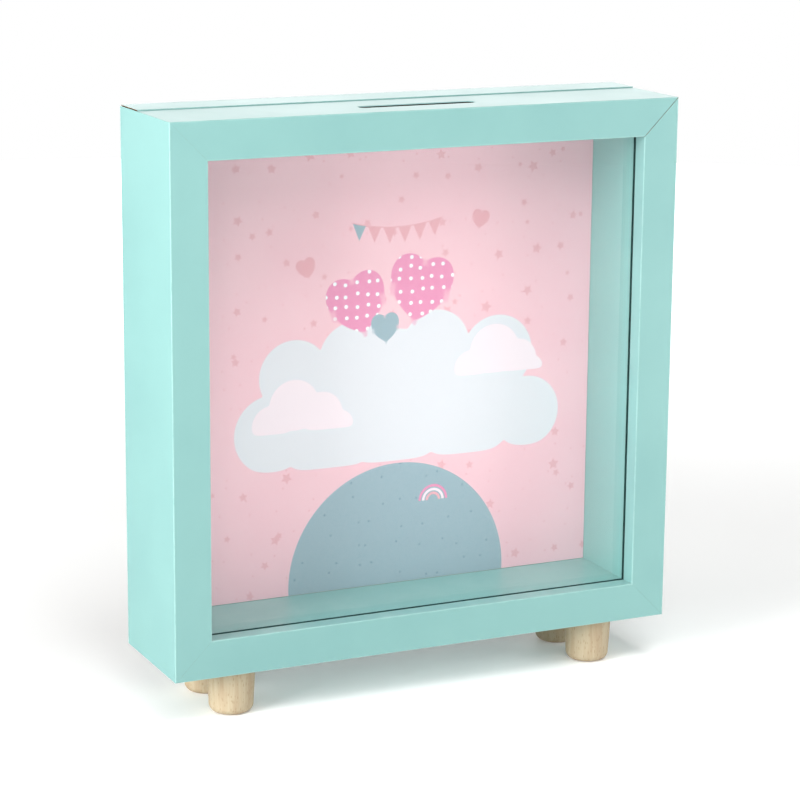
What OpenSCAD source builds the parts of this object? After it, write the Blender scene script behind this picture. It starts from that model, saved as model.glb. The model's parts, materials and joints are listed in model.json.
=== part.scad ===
// Wooden money box: a square frame of four mitred boards on turned feet, a glass
// front held in a groove, a coin slot in the top and a back that lifts out.
// Origin: under the middle of the box, on the surface it stands on.
// +X to the right, +Y to the back, +Z up. Millimetres.

/* [Frame] */
// Width across the outer faces of the two side boards
box_w = 200; // [150:1:300]
// Height of the board frame, without the feet
box_h = 200; // [150:1:300]
// Depth from the front face to the back edges
box_d = 50; // [44:1:90]
// Thickness of the four boards
board_t = 14; // [12:0.5:20]
// Width of the small chamfer on the long edges of the boards
arris = 0.4; // [0.2:0.1:1]

/* [Glass front] */
// Thickness of the glass pane
glass_t = 2; // [1.5:0.1:3]
// Distance from the front face to the glass groove
glass_inset = 6.3; // [4:0.1:9]
// Depth of the glass groove in each board
glass_groove_d = 5; // [3:0.5:7]
// Spare width of the glass groove over the pane
glass_slack = 0.4; // [0.2:0.1:0.8]
// Spare length of the groove beyond each free edge of the pane
glass_play = 0.4; // [0.2:0.1:0.8]

/* [Coin slot] */
// Length of the slot from end to end
slot_l = 46; // [34:1:60]
// Width of the slot
slot_w = 5; // [3:0.5:6]
// Distance from the front face to the middle of the slot
slot_inset = 15; // [13:0.5:18]

/* [Lift-out back] */
// Thickness of the back panel
panel_t = 3; // [2:0.5:4]
// Distance from the back edges to the rear of the panel
panel_inset = 7.6; // [5:0.2:9]
// Depth of the panel groove in the side and bottom boards
panel_groove_d = 5; // [3:0.5:6]
// Clearance on each face of the panel in its groove
panel_slack = 0.3; // [0.2:0.1:0.5]
// Clearance between each side edge of the panel and the end of its groove
panel_play = 0.5; // [0.3:0.1:0.9]
// Thickness of the picture card
card_t = 0.4; // [0.3:0.1:1]
// Clearance round the edge of the picture card
card_margin = 0.4; // [0.3:0.1:1]
// Depth of the mitred strip along the top of the panel
strip_d = 17; // [15:0.5:20]
// How far the strip stands above the frame
strip_proud = 0.4; // [0.3:0.1:0.8]
// Gap between the strip and the top board
strip_gap = 0.4; // [0.3:0.1:0.8]
// Amount taken off each mitred end of the strip
strip_end_gap = 0.2; // [0.1:0.1:0.5]
// Depth of the groove in the strip that holds the panel
strip_groove_d = 6; // [4:0.5:8]

/* [Feet] */
// Height of the feet
foot_h = 17.5; // [12:0.5:40]
// Diameter of a foot where it meets the box
foot_top_d = 18; // [14:0.5:22]
// Diameter of a foot above its rounded lower edge
foot_base_d = 16.4; // [12:0.2:22]
// Radius of the lower edge of a foot
foot_edge_r = 3; // [1:0.5:4]
// Distance from the side face to the middle of a foot
foot_side_inset = 26; // [12:0.5:50]
// Distance from the front or back face to the middle of a foot
foot_end_inset = 12.5; // [11.5:0.5:15]
// Diameter of the dowel that holds a foot
dowel_d = 6; // [5:0.5:8]
// Depth of the dowel hole in a foot
dowel_foot_depth = 9; // [6:0.5:10]
// Thickness of board left above each dowel hole
dowel_cover = 7; // [7:0.5:9]

/* [Pins] */
// Diameter of the steel pins
pin_d = 1.2; // [1:0.1:1.6]
// Length of the pins through the frame's mitres
pin_l = 28; // [20:1:32]
// Length of the pins through the strip and the panel
strip_pin_l = 13; // [11:0.5:14]
// Depth of filler over each pin head
pin_cover = 1; // [0.5:0.1:2]
// Distance from a board's edge to the nearest pin
pin_edge = 3.5; // [3:0.1:4]
// Distance between the pins in the strip
strip_pin_pitch = 60; // [20:1:65]

/* [Hidden] */
$fn = 64;
DOWEL_CHAMFER = 0.6;
ARC_STEPS = 8;

// Heights and half sizes of the frame
frame_bottom = foot_h;
frame_top = foot_h + box_h;
frame_mid = foot_h + box_h / 2;
front_y = -box_d / 2;
back_y = box_d / 2;
open_w = box_w - 2 * board_t;
open_h = box_h - 2 * board_t;
floor_z = frame_bottom + board_t;

// Glass and its groove, as depths behind the front face
glass_groove_w = glass_t + glass_slack;
glass_front = glass_inset + glass_slack / 2;

// Back panel and its groove, as depths behind the front face
panel_front = box_d - panel_inset - panel_t;
panel_groove_w = panel_t + 2 * panel_slack;
card_front = panel_front - card_t;
panel_w = open_w + 2 * (panel_groove_d - panel_play);

// Mitred strip on the panel, and the top board in front of it
strip_front = box_d - strip_d;
strip_bottom = frame_top - board_t + strip_proud;
top_board_d = strip_front - strip_gap;

// Dowels and pins
dowel_board_depth = board_t - dowel_cover;
foot_x = box_w / 2 - foot_side_inset;
foot_y = box_d / 2 - foot_end_inset;
low_pins = [pin_edge, box_d / 2, box_d - pin_edge];
high_pins = [pin_edge, top_board_d - pin_edge];

// Directions of the board frame: quarter turns from the bottom board
BOTTOM = 0;
RIGHT = 1;
TOP = 2;
LEFT = 3;

MINT = [0.62, 0.86, 0.84];
PALE_WOOD = [0.87, 0.80, 0.67];
STEEL = [0.70, 0.71, 0.73];

// Points of a circular arc, angles in degrees
function arc(centre, radius, from, to) = [
    for (i = [0 : ARC_STEPS])
        let (a = from + (to - from) * i / ARC_STEPS)
        centre + radius * [cos(a), sin(a)]
];

// Rectangle from the origin with a small chamfer on each corner
module chamfered_rect(width, height, c) {
    polygon([
        [c, 0], [width - c, 0], [width, c], [width, height - c],
        [width - c, height], [c, height], [0, height - c], [0, c]
    ]);
}

// Length of timber along X with its outer face at z = 0, its front edge at y = 0
// and both ends cut at 45 degrees, longest on the outer face
module mitred_timber(length, depth, end_cut = 0) {
    half = length / 2 - end_cut;
    intersection() {
        rotate([90, 0, 90])
            linear_extrude(height = length + 2, center = true)
                chamfered_rect(depth, board_t, arris);
        translate([0, depth + 1, 0])
            rotate([90, 0, 0])
                linear_extrude(height = depth + 2)
                    polygon([
                        [-half, 0], [half, 0],
                        [half - board_t, board_t], [-half + board_t, board_t]
                    ]);
    }
}

// Groove cut into the inner face of a timber, at a depth behind its front edge
module groove(length, start, width, depth) {
    translate([-length, start, board_t - depth])
        cube([2 * length, width, depth + 1]);
}

// Turns a timber from the bottom of the frame to one of its four sides
module to_side(side) {
    half = (side == LEFT || side == RIGHT ? box_w : box_h) / 2;
    translate([0, front_y, frame_mid])
        rotate([0, -90 * side, 0])
            translate([0, 0, -half])
                children();
}

// Pins through one corner of the frame, with hands -1 for left and 1 for right
module corner_pins(hand, height, depths) {
    for (depth = depths)
        translate([hand * (box_w / 2 - pin_cover), front_y + depth, height])
            rotate([0, -90 * hand, 0])
                cylinder(h = pin_l, d = pin_d);
}

module bottom_corner_pins(hand) {
    corner_pins(hand, frame_bottom + board_t / 2, low_pins);
}

module top_corner_pins(hand) {
    corner_pins(hand, frame_top - board_t / 2, high_pins);
}

// Pins that hold the strip to the panel, driven in from the back
module strip_pin_set() {
    for (i = [-1 : 1])
        translate([i * strip_pin_pitch, back_y - pin_cover, strip_bottom + strip_groove_d / 2])
            rotate([90, 0, 0])
                cylinder(h = strip_pin_l, d = pin_d);
}

// Hole for a dowel, reaching into the foot and into the board above it
module dowel_hole(side_x, side_y) {
    translate([side_x * foot_x, side_y * foot_y, foot_h - dowel_foot_depth])
        cylinder(h = dowel_foot_depth + dowel_board_depth, d = dowel_d);
}

module side_board(side, hand) {
    color(MINT)
        difference() {
            to_side(side)
                difference() {
                    mitred_timber(box_h, box_d);
                    groove(box_h, glass_inset, glass_groove_w, glass_groove_d);
                    groove(box_h, panel_front - panel_slack, panel_groove_w, panel_groove_d);
                }
            bottom_corner_pins(hand);
            top_corner_pins(hand);
        }
}

module left_board() {
    side_board(LEFT, -1);
}

module right_board() {
    side_board(RIGHT, 1);
}

module bottom_board() {
    color(MINT)
        difference() {
            to_side(BOTTOM)
                difference() {
                    mitred_timber(box_w, box_d);
                    groove(box_w, glass_inset, glass_groove_w, glass_groove_d);
                    groove(box_w, panel_front - panel_slack, panel_groove_w, panel_groove_d);
                }
            for (hand = [-1, 1]) {
                bottom_corner_pins(hand);
                dowel_hole(hand, -1);
                dowel_hole(hand, 1);
            }
        }
}

// Slot with round ends, cut right through the top board
module coin_slot() {
    reach = (slot_l - slot_w) / 2;
    translate([0, front_y + slot_inset, frame_top - board_t - 1]) {
        for (end = [-1, 1])
            translate([end * reach, 0, 0])
                cylinder(h = board_t + 2, d = slot_w);
        translate([-reach, -slot_w / 2, 0])
            cube([2 * reach, slot_w, board_t + 2]);
    }
}

module top_board() {
    color(MINT)
        difference() {
            to_side(TOP)
                difference() {
                    mitred_timber(box_w, top_board_d);
                    groove(box_w, glass_inset, glass_groove_w, glass_groove_d);
                }
            coin_slot();
            for (hand = [-1, 1])
                top_corner_pins(hand);
        }
}

// The pane stands on the floor of the bottom groove
module glass_pane() {
    pane_w = open_w + 2 * (glass_groove_d - glass_play);
    pane_h = open_h + 2 * glass_groove_d - glass_play;
    color([0.80, 0.92, 0.90, 0.35])
        translate([-pane_w / 2, front_y + glass_front, floor_z - glass_groove_d])
            cube([pane_w, glass_t, pane_h]);
}

// Turned foot: a slightly tapered peg with a rounded lower edge
module foot(side_x, side_y) {
    outline = concat(
        [[0, 0]],
        arc([foot_base_d / 2 - foot_edge_r, foot_edge_r], foot_edge_r, -90, 0),
        [[foot_top_d / 2, foot_h], [0, foot_h]]
    );
    color(PALE_WOOD)
        difference() {
            translate([side_x * foot_x, side_y * foot_y, 0])
                rotate_extrude()
                    polygon(outline);
            dowel_hole(side_x, side_y);
        }
}

module foot_front_left() {
    foot(-1, -1);
}

module foot_front_right() {
    foot(1, -1);
}

module foot_back_left() {
    foot(-1, 1);
}

module foot_back_right() {
    foot(1, 1);
}

// Dowel with chamfered ends that fills its hole
module dowel(side_x, side_y) {
    length = dowel_foot_depth + dowel_board_depth;
    color(PALE_WOOD)
        translate([side_x * foot_x, side_y * foot_y, foot_h - dowel_foot_depth])
            rotate_extrude()
                polygon([
                    [0, 0], [dowel_d / 2 - DOWEL_CHAMFER, 0],
                    [dowel_d / 2, DOWEL_CHAMFER], [dowel_d / 2, length - DOWEL_CHAMFER],
                    [dowel_d / 2 - DOWEL_CHAMFER, length], [0, length]
                ]);
}

module dowel_front_left() {
    dowel(-1, -1);
}

module dowel_front_right() {
    dowel(1, -1);
}

module dowel_back_left() {
    dowel(-1, 1);
}

module dowel_back_right() {
    dowel(1, 1);
}

module pins_bottom_left() {
    color(STEEL) bottom_corner_pins(-1);
}

module pins_bottom_right() {
    color(STEEL) bottom_corner_pins(1);
}

module pins_top_left() {
    color(STEEL) top_corner_pins(-1);
}

module pins_top_right() {
    color(STEEL) top_corner_pins(1);
}

// The panel stands on the floor of the bottom groove and reaches up into the strip
module back_panel() {
    panel_bottom = floor_z - panel_groove_d;
    color([0.50, 0.38, 0.27])
        difference() {
            translate([-panel_w / 2, front_y + panel_front, panel_bottom])
                cube([panel_w, panel_t, strip_bottom + strip_groove_d - panel_bottom]);
            strip_pin_set();
        }
}

module picture_card() {
    color([0.92, 0.78, 0.81])
        translate([-open_w / 2 + card_margin, front_y + card_front, floor_z + card_margin])
            cube([
                open_w - 2 * card_margin, card_t,
                strip_bottom - floor_z - 2 * card_margin
            ]);
}

// Mitred strip that closes the top behind the top board and carries the panel
module top_strip() {
    color(MINT)
        difference() {
            translate([0, strip_front, strip_proud])
                to_side(TOP)
                    difference() {
                        mitred_timber(box_w, strip_d, strip_end_gap);
                        groove(box_w, panel_front - strip_front, panel_t, strip_groove_d);
                    }
            strip_pin_set();
        }
}

module strip_pins() {
    color(STEEL) strip_pin_set();
}

left_board();
right_board();
bottom_board();
top_board();
glass_pane();
foot_front_left();
foot_front_right();
foot_back_left();
foot_back_right();
dowel_front_left();
dowel_front_right();
dowel_back_left();
dowel_back_right();
pins_bottom_left();
pins_bottom_right();
pins_top_left();
pins_top_right();
back_panel();
picture_card();
top_strip();
strip_pins();
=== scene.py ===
"""Looks of a wooden money box: painted boards, glass front, turned feet and a lift-out back.

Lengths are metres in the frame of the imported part: +X right, +Y back, +Z up, floor at zero.
"""

import json
import logging
import math
from dataclasses import dataclass, field
from enum import Enum

import bpy
import numpy as np
from mathutils import Matrix, Vector


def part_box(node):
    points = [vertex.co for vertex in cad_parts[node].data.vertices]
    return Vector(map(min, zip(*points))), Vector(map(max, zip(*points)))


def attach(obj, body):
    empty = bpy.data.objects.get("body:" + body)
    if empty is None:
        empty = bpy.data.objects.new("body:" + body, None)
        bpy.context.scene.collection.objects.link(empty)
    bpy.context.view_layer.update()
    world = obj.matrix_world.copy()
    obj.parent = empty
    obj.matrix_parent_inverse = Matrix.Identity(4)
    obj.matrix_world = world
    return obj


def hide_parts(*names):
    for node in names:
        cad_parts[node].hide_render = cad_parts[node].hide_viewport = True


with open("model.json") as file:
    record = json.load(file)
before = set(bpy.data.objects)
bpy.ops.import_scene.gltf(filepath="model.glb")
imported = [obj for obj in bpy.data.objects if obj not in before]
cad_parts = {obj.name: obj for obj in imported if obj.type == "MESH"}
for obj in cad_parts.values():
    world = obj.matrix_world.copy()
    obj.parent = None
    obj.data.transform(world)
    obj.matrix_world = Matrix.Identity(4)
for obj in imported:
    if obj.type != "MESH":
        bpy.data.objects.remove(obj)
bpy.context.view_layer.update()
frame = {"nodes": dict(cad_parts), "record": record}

LOG = logging.getLogger("money_box")
MM = 0.001
SMOOTH_BELOW = 32.0  # degrees: edges that turn less shade as smooth
FLAT_FACED = 10.0  # degrees: the same for sheets, so that their faces mirror truly
Socket = bpy.types.NodeSocket
Colour = tuple[float, float, float, float]


def tint(red: int, green: int, blue: int) -> Colour:
    """Turns a screen colour into the linear colour that shaders use.

    Formula: the standard screen curve undone, channel by channel.

    Args:
        red: Red from 0 to 255.
        green: Green from 0 to 255.
        blue: Blue from 0 to 255.

    Returns:
        Linear red, green, blue and a full alpha.
    """
    share = np.array([red, green, blue], float) / 255
    linear = np.where(share <= 0.04045, share / 12.92, ((share + 0.055) / 1.055) ** 2.4)
    return (*linear.tolist(), 1.0)


# ---------------------------------------------------------------- surfaces


def waves(along: np.ndarray, seed: int, shortest: float = 0.012, count: int = 6) -> np.ndarray:
    """Gives a smooth uneven line between about -1 and 1, as a hand tool leaves.

    Formula: a sum of sine waves, each half again as long as the one before, with seeded
    phases and equal heights.

    Args:
        along: Places along the line, in metres.
        seed: Chooses the line.
        shortest: Length of the shortest wave, in metres.
        count: Number of waves.

    Returns:
        One value for each place.
    """
    phases = np.random.default_rng(seed).uniform(0, 2 * math.pi, count)
    lengths = shortest * 1.5 ** np.arange(count)
    return np.sin(along[..., None] / lengths * 2 * math.pi + phases).sum(-1) / count


def ring_faces(rings: int, points: int) -> list[list[int]]:
    """Joins rings of points into a tube of quads that closes round each ring.

    Args:
        rings: Number of rings.
        points: Number of points in each ring.

    Returns:
        The corner numbers of each quad.
    """
    ring = np.arange(rings - 1)[:, None] * points
    here = np.arange(points)[None, :]
    after = (here + 1) % points
    quads = np.stack([ring + here, ring + after, ring + points + after, ring + points + here], -1)
    return quads.reshape(-1, 4).tolist()


def tube_faces(rings: int, points: int) -> list[list[int]]:
    """Joins rings into a closed solid: a tube of quads with a flat face over each end.

    Args:
        rings: Number of rings.
        points: Number of points in each ring.

    Returns:
        The corner numbers of each face, the two end faces last.
    """
    first = list(range(points))[::-1]
    last = list(range((rings - 1) * points, rings * points))
    return ring_faces(rings, points) + [first, last]


def signed_volume(vertices: np.ndarray, faces: list[list[int]]) -> float:
    """Measures a closed surface, positive where its faces point outwards.

    Formula: the sum over all corner triangles of a sixth of the box that their three
    corners span with the origin.

    Args:
        vertices: Points, one a row.
        faces: Corner numbers of each face.

    Returns:
        The enclosed volume with its sign.
    """
    fans = [(f[0], f[i], f[i + 1]) for f in faces for i in range(1, len(f) - 1)]
    a, b, c = (vertices[np.array(fans)[:, k]] for k in range(3))
    return float(np.einsum("ij,ij->i", a, np.cross(b, c)).sum() / 6)


def make_solid(name: str, vertices: np.ndarray, faces: list[list[int]],
               finishes: list[bpy.types.Material], which: np.ndarray | None = None,
               smooth_below: float = SMOOTH_BELOW) -> bpy.types.Object:
    """Makes a piece from points and faces, facing outwards, with its place in its mesh.

    Args:
        name: Name of the piece.
        vertices: Points, one a row, in metres.
        faces: Corner numbers of each face.
        finishes: Materials of the piece, in the order of their slots.
        which: Slot number of each face, or None where all use the first.
        smooth_below: Edges that turn by less than this many degrees shade as smooth.

    Returns:
        The new object, at the origin.
    """
    if signed_volume(vertices, faces) < 0:
        faces = [f[::-1] for f in faces]
    mesh = bpy.data.meshes.new(name)
    mesh.from_pydata(vertices.tolist(), [], faces)
    for finish in finishes:
        mesh.materials.append(finish)
    if which is not None:
        mesh.polygons.foreach_set("material_index", np.asarray(which, np.int32))
    mesh.polygons.foreach_set("use_smooth", np.ones(len(faces), bool))
    mesh.set_sharp_from_angle(angle=math.radians(smooth_below))
    mesh.update()
    piece = bpy.data.objects.new(name, mesh)
    bpy.context.scene.collection.objects.link(piece)
    return piece


def add_point_value(piece: bpy.types.Object, name: str, values: np.ndarray) -> None:
    """Stores one number for each point of a piece, for its material to read."""
    attribute = piece.data.attributes.new(name, "FLOAT", "POINT")
    attribute.data.foreach_set("value", values.astype(np.float32).ravel())


def settle(piece: bpy.types.Object, body: str, slot: str, *nodes: str) -> None:
    """Ties a finished piece to its body, hides the nodes that it stands for and logs them.

    Args:
        piece: The piece.
        body: Body that it moves with.
        slot: Not used.
        nodes: Nodes that it stands for.
    """
    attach(piece, body)
    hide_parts(*nodes)
    LOG.info("%s: %d faces, stands for %s", piece.name, len(piece.data.polygons), ", ".join(nodes))


def revolve(profile: np.ndarray, centre: tuple[float, float],
            segments: int = 72) -> tuple[np.ndarray, list[list[int]]]:
    """Turns a profile about an upright axis into a closed solid.

    Formula: each profile point (radius, height) becomes a circle of that radius at that
    height. The first and the last point lie on the axis and close it.

    Args:
        profile: Radius and height of each point, from one pole to the other.
        centre: Place of the axis, x and y.
        segments: Number of points round each circle.

    Returns:
        Points and faces.
    """
    angle = np.linspace(0, 2 * math.pi, segments, endpoint=False)
    radius, height = profile[1:-1, 0], profile[1:-1, 1]
    rings = np.stack([
        centre[0] + radius[:, None] * np.cos(angle),
        centre[1] + radius[:, None] * np.sin(angle),
        np.broadcast_to(height[:, None], (len(height), segments)),
    ], -1).reshape(-1, 3)
    poles = np.array([[*centre, profile[0, 1]], [*centre, profile[-1, 1]]])
    here, count = np.arange(segments), len(rings)
    after, last = (here + 1) % segments, count - segments
    first_fan = np.stack([after, here, np.full(segments, count)], -1)
    last_fan = np.stack([last + here, last + after, np.full(segments, count + 1)], -1)
    fans = np.stack([first_fan, last_fan], 1).reshape(-1, 3)
    return np.concatenate([rings, poles]), ring_faces(len(height), segments) + fans.tolist()


def slab(low: np.ndarray, high: np.ndarray, arris: float,
         steps: int = 3) -> tuple[np.ndarray, list[list[int]], np.ndarray]:
    """Makes an upright sheet with softened edges.

    Formula: a quarter-round profile carried round the rectangle, with its corners mitred.
    The profile's angle runs from the front face to the back face.

    Args:
        low: Lowest corner.
        high: Highest corner.
        arris: Radius of the softened edges.
        steps: Faces in each quarter round.

    Returns:
        Points, faces, and for each face 0 on the front, 1 on the rim and 2 on the back.
    """
    turn = np.linspace(0, math.pi / 2, steps + 1)
    inset = np.concatenate([1 - np.sin(turn), (1 - np.sin(turn))[::-1]]) * arris
    depth = np.concatenate([low[1] + arris * (1 - np.cos(turn)),
                            (high[1] - arris * (1 - np.cos(turn)))[::-1]])
    signs = np.array([[0, 0], [1, 0], [1, 1], [0, 1]])
    rings = len(inset)
    points = np.empty((rings, 4, 3))
    for axis, column in ((0, 0), (2, 1)):
        near, far = low[axis] + inset[:, None], high[axis] - inset[:, None]
        points[:, :, axis] = np.where(signs[None, :, column] == 0, near, far)
    points[:, :, 1] = depth[:, None]
    faces = tube_faces(rings, 4)
    parts = np.ones(len(faces), int)
    parts[-2:] = 0, 2
    return points.reshape(-1, 3), faces, parts


# ---------------------------------------------------------------- node trees


class Graph:
    """Short names for adding nodes to one node tree."""

    def __init__(self, tree: bpy.types.NodeTree) -> None:
        """Starts on an existing tree.

        Args:
            tree: The tree that gets the nodes.
        """
        self.tree = tree

    def node(self, kind: str, **settings: object) -> bpy.types.Node:
        """Adds a node.

        Args:
            kind: Blender's name for the kind of node.
            settings: Properties to set on it.

        Returns:
            The node.
        """
        made = self.tree.nodes.new(kind)
        for key, value in settings.items():
            setattr(made, key, value)
        return made

    def feed(self, target: Socket, source: object) -> None:
        """Links a socket to an input, or sets the input to a plain value.

        Args:
            target: The input.
            source: A socket, a plain value, or None to leave the input as it is.
        """
        if isinstance(source, bpy.types.NodeSocket):
            self.tree.links.new(source, target)
        elif source is not None:
            target.default_value = source

    def feed_all(self, made: bpy.types.Node, *sources: object) -> bpy.types.Node:
        """Feeds the inputs that a node shows, in order.

        Args:
            made: The node.
            sources: What its inputs get.

        Returns:
            The same node.
        """
        shown = (socket for socket in made.inputs if socket.enabled)
        for socket, source in zip(shown, sources):
            self.feed(socket, source)
        return made

    def call(self, kind: str, inputs: dict[str, object], **settings: object) -> bpy.types.Node:
        """Adds a node and feeds its inputs by name.

        Args:
            kind: Blender's name for the kind of node.
            inputs: What each named input gets.
            settings: Properties to set on the node.

        Returns:
            The node.
        """
        made = self.node(kind, **settings)
        for name, source in inputs.items():
            self.feed(made.inputs[name], source)
        return made

    def math(self, operation: str, *inputs: object) -> Socket:
        """Adds a Math node.

        Args:
            operation: What it works out.
            inputs: What its inputs get, in order.

        Returns:
            Its value.
        """
        made = self.node("ShaderNodeMath", operation=operation)
        return self.feed_all(made, *inputs).outputs[0]

    def vector(self, operation: str, *inputs: object) -> Socket:
        """Adds a Vector Math node.

        Args:
            operation: What it works out.
            inputs: What its inputs get, in order.

        Returns:
            Its vector, or its value for a length or a distance.
        """
        made = self.feed_all(self.node("ShaderNodeVectorMath", operation=operation), *inputs)
        return made.outputs["Value" if operation in ("LENGTH", "DISTANCE") else "Vector"]

    def step(self, value: object, low: object, high: object, start: object = 0.0,
             end: object = 1.0) -> Socket:
        """Adds a smooth step.

        Args:
            value: What is stepped.
            low: Value where the step begins.
            high: Value where it ends.
            start: Result up to low.
            end: Result from high on.

        Returns:
            The result.
        """
        made = self.node("ShaderNodeMapRange", interpolation_type="SMOOTHSTEP")
        return self.feed_all(made, value, low, high, start, end).outputs["Result"]

    def blend(self, share: object, first: object, second: object) -> Socket:
        """Adds a colour mix.

        Args:
            share: Share of the second colour.
            first: First colour.
            second: Second colour.

        Returns:
            The mixed colour.
        """
        made = self.feed_all(self.node("ShaderNodeMix", data_type="RGBA"), share, first, second)
        return next(socket for socket in made.outputs if socket.enabled)

    def noise(self, place: Socket, scale: object, detail: float = 3.0,
              rough: float = 0.5) -> Socket:
        """Adds a noise texture.

        Args:
            place: Where it is read.
            scale: Its scale, in waves to a metre.
            detail: Number of finer layers.
            rough: Strength of each finer layer.

        Returns:
            Its value.
        """
        made = self.call("ShaderNodeTexNoise", {"Vector": place, "Scale": scale,
                                                "Detail": detail, "Roughness": rough})
        return made.outputs[0]

    def split(self, place: Socket) -> tuple[Socket, Socket, Socket]:
        """Splits a place into its three coordinates.

        Args:
            place: The place.

        Returns:
            The coordinates.
        """
        return tuple(self.feed_all(self.node("ShaderNodeSeparateXYZ"), place).outputs)

    def join(self, x: object, y: object, z: object = 0.0) -> Socket:
        """Joins three coordinates into a place.

        Args:
            x: First coordinate.
            y: Second coordinate.
            z: Third coordinate.

        Returns:
            The place.
        """
        return self.feed_all(self.node("ShaderNodeCombineXYZ"), x, y, z).outputs[0]

    def stretch(self, place: Socket, factors: tuple[float, float, float]) -> Socket:
        """Scales a place differently along each axis."""
        return self.vector("MULTIPLY", place, factors)

    def group(self, tree: bpy.types.NodeTree, **inputs: object) -> bpy.types.Node:
        """Adds a node group and feeds its inputs.

        Args:
            tree: The group's tree.
            inputs: What each input gets, with underscores for spaces in its name.

        Returns:
            The group's node.
        """
        made = self.node("ShaderNodeGroup", node_tree=tree)
        for name, source in inputs.items():
            self.feed(made.inputs[name.replace("_", " ")], source)
        return made


class GroupBuilder(Graph):
    """A shader node group in the making, with named inputs and outputs."""

    def __init__(self, name: str, inputs: dict[str, object], outputs: tuple[str, ...]) -> None:
        """Makes the group's tree and its sockets.

        Args:
            name: Name of the group.
            inputs: Default value of each input: a number, or None for a vector.
            outputs: Names of the values that it gives.
        """
        super().__init__(bpy.data.node_groups.new(name, "ShaderNodeTree"))
        for label, value in inputs.items():
            kind = "NodeSocketVector" if value is None else "NodeSocketFloat"
            socket = self.tree.interface.new_socket(name=label, in_out="INPUT", socket_type=kind)
            if value is not None:
                socket.default_value = value
        for label in outputs:
            self.tree.interface.new_socket(name=label, in_out="OUTPUT",
                                           socket_type="NodeSocketFloat")
        self.start = self.node("NodeGroupInput").outputs
        self.end = self.node("NodeGroupOutput").inputs

    def give(self, **values: Socket) -> bpy.types.NodeTree:
        """Links the results to the group's outputs.

        Args:
            values: The result for each output, with underscores for spaces in its name.

        Returns:
            The group's tree.
        """
        for label, source in values.items():
            self.feed(self.end[label.replace("_", " ")], source)
        return self.tree


class Effects:
    """Surface effects that several finishes share, each a node group built once."""

    def __init__(self) -> None:
        """Builds every group."""
        self.tooth = self.build_tooth()
        self.wear = self.build_wear()
        self.fibres = self.build_fibres()
        self.dust = self.build_dust()

    @staticmethod
    def build_tooth() -> bpy.types.NodeTree:
        """Builds the fine unevenness of a sprayed or pressed face.

        Returns:
            A group that gives Height, a fine pebble, and Tone, a broad cloudy change.
        """
        g = GroupBuilder("fine_tooth", {"Place": None, "Pebble": 900.0, "Cloud": 22.0},
                         ("Height", "Tone"))
        place = g.start["Place"]
        pebble = g.noise(place, g.start["Pebble"], 2.0, 0.45)
        ripple = g.noise(place, g.math("MULTIPLY", g.start["Pebble"], 0.22), 1.0)
        height = g.math("ADD", g.math("MULTIPLY", pebble, 0.6), g.math("MULTIPLY", ripple, 0.4))
        cloud = g.noise(place, g.start["Cloud"], 4.0, 0.55)
        return g.give(Height=height, Tone=g.step(cloud, 0.3, 0.7))

    @staticmethod
    def build_wear() -> bpy.types.NodeTree:
        """Builds the rubbed line along edges.

        Returns:
            A group that turns an edge value into an uneven mask of rubbed paint.
        """
        g = GroupBuilder("rubbed_edges", {"Place": None, "Edge": 0.0, "Amount": 0.5},
                         ("Mask",))
        patches = g.noise(g.start["Place"], 160.0, 5.0, 0.65)
        limit = g.math("SUBTRACT", 1.0, g.math("MULTIPLY", g.start["Amount"], 0.75))
        worn = g.math("MULTIPLY", g.start["Edge"], g.math("ADD", patches, 0.35))
        return g.give(Mask=g.step(worn, limit, g.math("ADD", limit, 0.25)))

    @staticmethod
    def build_fibres() -> bpy.types.NodeTree:
        """Builds short fibres pressed together, as in board, hardboard and card.

        Returns:
            A group that gives Fleck, light and dark fibres, and Height.
        """
        g = GroupBuilder("pressed_fibres", {"Place": None, "Size": 1400.0}, ("Fleck", "Height"))
        place, size = g.start["Place"], g.start["Size"]
        swirl = g.call("ShaderNodeTexNoise", {"Vector": place,
                                              "Scale": g.math("MULTIPLY", size, 0.15)})
        bent = g.vector("ADD", place, g.vector("MULTIPLY", swirl.outputs["Color"],
                                               (0.002, 0.002, 0.002)))
        across = g.noise(g.stretch(bent, (1.0, 1.0, 0.22)), size, 3.0, 0.6)
        along = g.noise(g.stretch(bent, (0.22, 1.0, 1.0)), size, 3.0, 0.6)
        both = g.math("MULTIPLY", g.math("ADD", across, along), 0.5)
        return g.give(Fleck=g.step(both, 0.38, 0.62), Height=both)

    @staticmethod
    def build_dust() -> bpy.types.NodeTree:
        """Builds the faint dust that settles on faces that look up.

        Returns:
            A group that gives a mask of dust.
        """
        g = GroupBuilder("settled_dust", {"Place": None, "Amount": 0.3}, ("Mask",))
        up = g.step(g.split(g.node("ShaderNodeNewGeometry").outputs["Normal"])[2], 0.5, 0.95)
        drifts = g.step(g.noise(g.start["Place"], 75.0, 6.0, 0.7), 0.42, 0.75)
        return g.give(Mask=g.math("MULTIPLY", g.math("MULTIPLY", up, drifts),
                                  g.start["Amount"]))


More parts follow.
